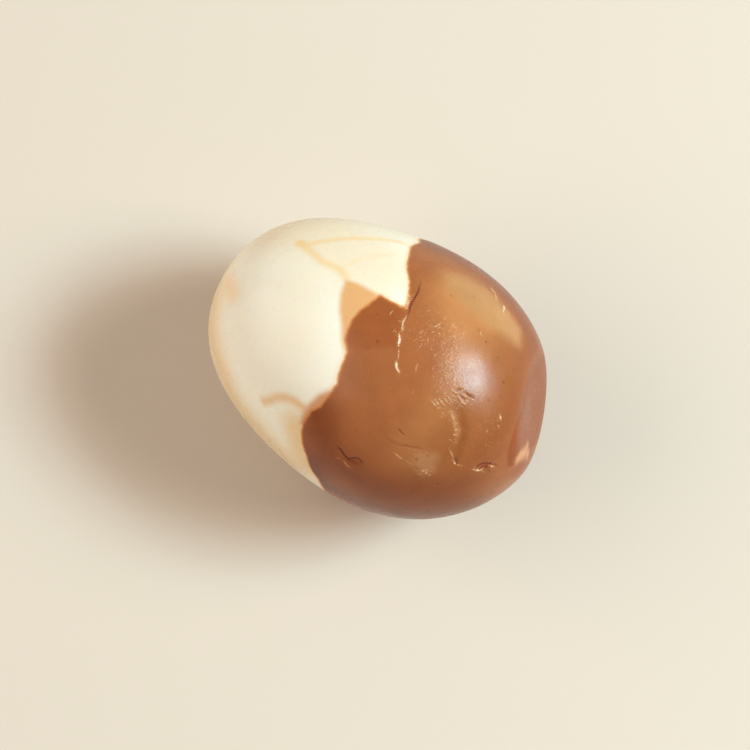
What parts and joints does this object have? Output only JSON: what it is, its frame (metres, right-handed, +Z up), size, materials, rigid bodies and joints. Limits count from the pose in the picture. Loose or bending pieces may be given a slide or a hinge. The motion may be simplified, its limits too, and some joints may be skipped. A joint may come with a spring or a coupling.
{
  "type": "tea egg",
  "caption": "Peeled boiled hen's egg stained brown by tea over its blunt end and cream at its pointed end, lying on its side.",
  "frame": {"origin": "centre of the small flat that the egg rests on, in the plane of the table", "axes": "+X along the egg towards its blunt end, +Y sideways towards the air cell's flat, +Z up from the table"},
  "size_m": [0.0565, 0.0422, 0.0417],
  "materials": {
    "stained_egg_white": "satin"
  },
  "bodies": {
    "root": {"egg": "stained_egg_white"}
  },
  "joints": []
}
